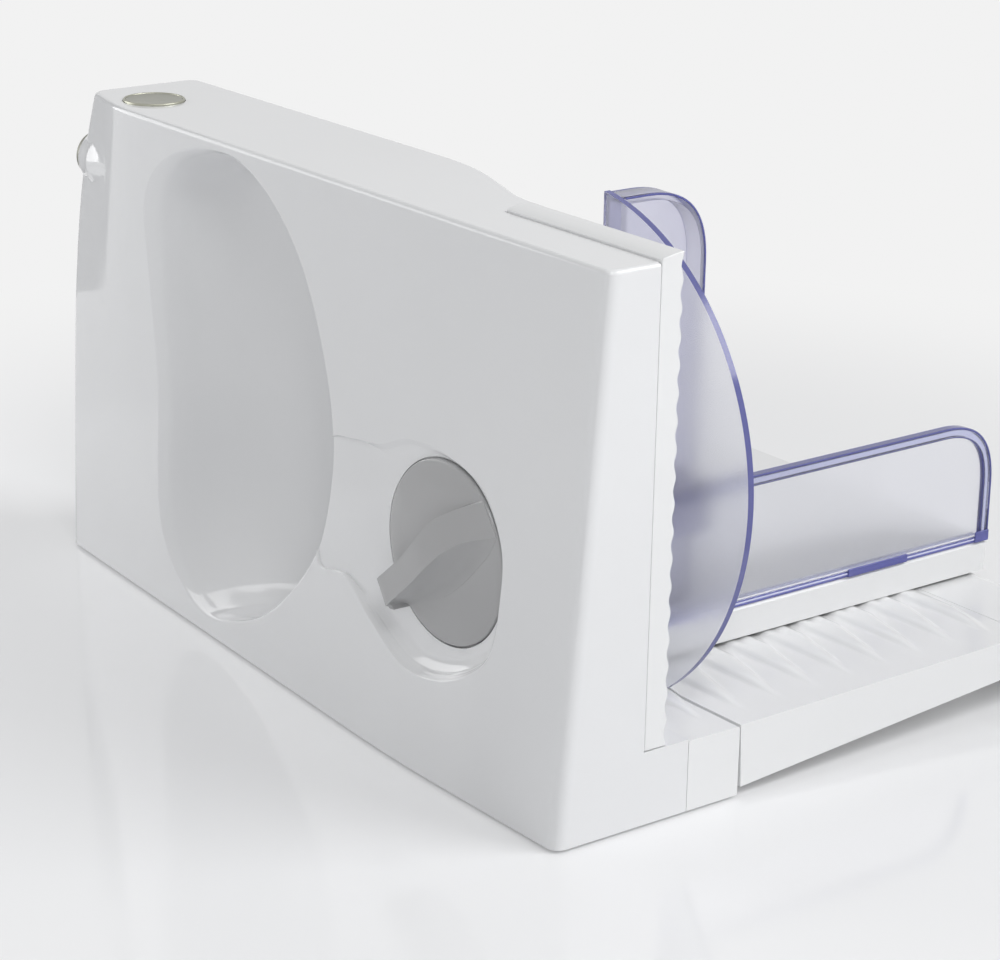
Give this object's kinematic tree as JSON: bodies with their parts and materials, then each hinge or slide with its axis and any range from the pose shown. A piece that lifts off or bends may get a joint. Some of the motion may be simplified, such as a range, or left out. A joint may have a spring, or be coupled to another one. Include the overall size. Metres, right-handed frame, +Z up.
{
  "type": "electric food slicer",
  "caption": "Folding electric food slicer with a round serrated blade, a thickness dial, a sculpted slice outlet, a hinged table and a sliding carriage with clear guards.",
  "frame": {"origin": "middle of the footprint, on the surface the slicer stands on", "axes": "+X along the blade towards the motor end, +Y towards the side where the slices come out, +Z up"},
  "size_m": [0.3764, 0.2702, 0.2073],
  "materials": {
    "white_gloss": "gloss",
    "white_satin": "satin",
    "dial_grey": "satin",
    "grey_plastic": "satin",
    "dark_plastic": "matte",
    "gear_plastic": "satin",
    "clear_blue": "frosted clear",
    "blade_steel": "brushed",
    "steel": "satin",
    "bronze": "plain",
    "motor_metal": "satin",
    "button_metal": "satin metallic",
    "rubber": "matte"
  },
  "bodies": {
    "housing": {"base_foot_1": "rubber", "base_foot_2": "rubber", "base_foot_3": "rubber", "base_foot_4": "rubber", "base_plate": "grey_plastic", "blade_side_panel": "white_satin", "carriage_rail": "steel", "cord_inlet": "grey_plastic", "folding_table": "white_satin", "gear_plate": "steel", "hinge_block": "white_satin", "hinge_pin_1": "steel", "hinge_pin_2": "steel", "idler_axle": "steel", "intermediate_axle": "steel", "main_housing": "white_gloss", "motor_body": "motor_metal", "shaft_bushing": "bronze", "side_switch": "dark_plastic", "table_end_cap": "white_satin", "table_foot_far": "rubber", "table_foot_near": "rubber", "top_switch": "dark_plastic"},
    "blade_drive": {"blade": "blade_steel", "blade_lock": "grey_plastic", "blade_shaft": "steel", "drive_gear": "gear_plastic"},
    "intermediate": {"intermediate_gear": "gear_plastic"},
    "idler": {"idler_gear": "gear_plastic"},
    "pinion": {"motor_pinion": "steel"},
    "dial": {"thickness_dial": "dial_grey", "dial_spindle": "steel", "dial_collar": "grey_plastic"},
    "stop": {"stop_plate": "white_satin", "guide_rod_1": "steel", "guide_rod_2": "steel", "thickness_nut": "grey_plastic"},
    "top_key": {"top_button": "button_metal"},
    "side_key": {"side_button": "button_metal"},
    "carriage": {"carriage_base": "white_satin", "backrest_guard": "clear_blue"},
    "holder": {"remnant_holder": "clear_blue"}
  },
  "joints": [
    {"name": "blade_spin", "type": "hinge", "parent": "housing", "child": "blade_drive", "pos_m": [-0.00927, 0.06081, 0.1165], "axis": [0, 1, 0], "continuous": true},
    {"name": "intermediate_spin", "type": "hinge", "parent": "housing", "child": "intermediate", "pos_m": [0.03623, 0.07081, 0.1165], "axis": [0, 1, 0], "continuous": true},
    {"name": "idler_spin", "type": "hinge", "parent": "housing", "child": "idler", "pos_m": [0.09573, 0.07381, 0.1165], "axis": [0, 1, 0], "continuous": true},
    {"name": "pinion_spin", "type": "hinge", "parent": "housing", "child": "pinion", "pos_m": [0.13423, 0.07381, 0.1165], "axis": [0, 1, 0], "continuous": true},
    {"name": "dial_turn", "type": "hinge", "parent": "housing", "child": "dial", "pos_m": [-0.10477, 0.12381, 0.0846], "axis": [0, 1, 0], "range_deg": [0, 288]},
    {"name": "stop_plate_slide", "type": "slide", "parent": "housing", "child": "stop", "axis": [0, -1, 0], "range_m": [0, 0.0241]},
    {"name": "top_button_press", "type": "slide", "parent": "housing", "child": "top_key", "axis": [0, 0, -1], "range_m": [0, 0.003], "stiffness_N_per_m": 500, "springref_m": -0.001},
    {"name": "side_button_press", "type": "slide", "parent": "housing", "child": "side_key", "axis": [-1, 0, 0], "range_m": [0, 0.003], "stiffness_N_per_m": 500, "springref_m": -0.001},
    {"name": "carriage_slide", "type": "slide", "parent": "housing", "child": "carriage", "axis": [1, 0, 0], "range_m": [-0.11, 0.12]},
    {"name": "holder_slide", "type": "slide", "parent": "carriage", "child": "holder", "axis": [0, -1, 0], "range_m": [0, 0.135]}
  ],
  "couplings": [
    {"joint": "intermediate_spin", "follows": "blade_spin", "ratio": -3.3333},
    {"joint": "idler_spin", "follows": "blade_spin", "ratio": 3.3333},
    {"joint": "pinion_spin", "follows": "blade_spin", "ratio": -11.333},
    {"joint": "stop_plate_slide", "follows": "dial_turn", "m_per_rad": 0.0047747}
  ]
}
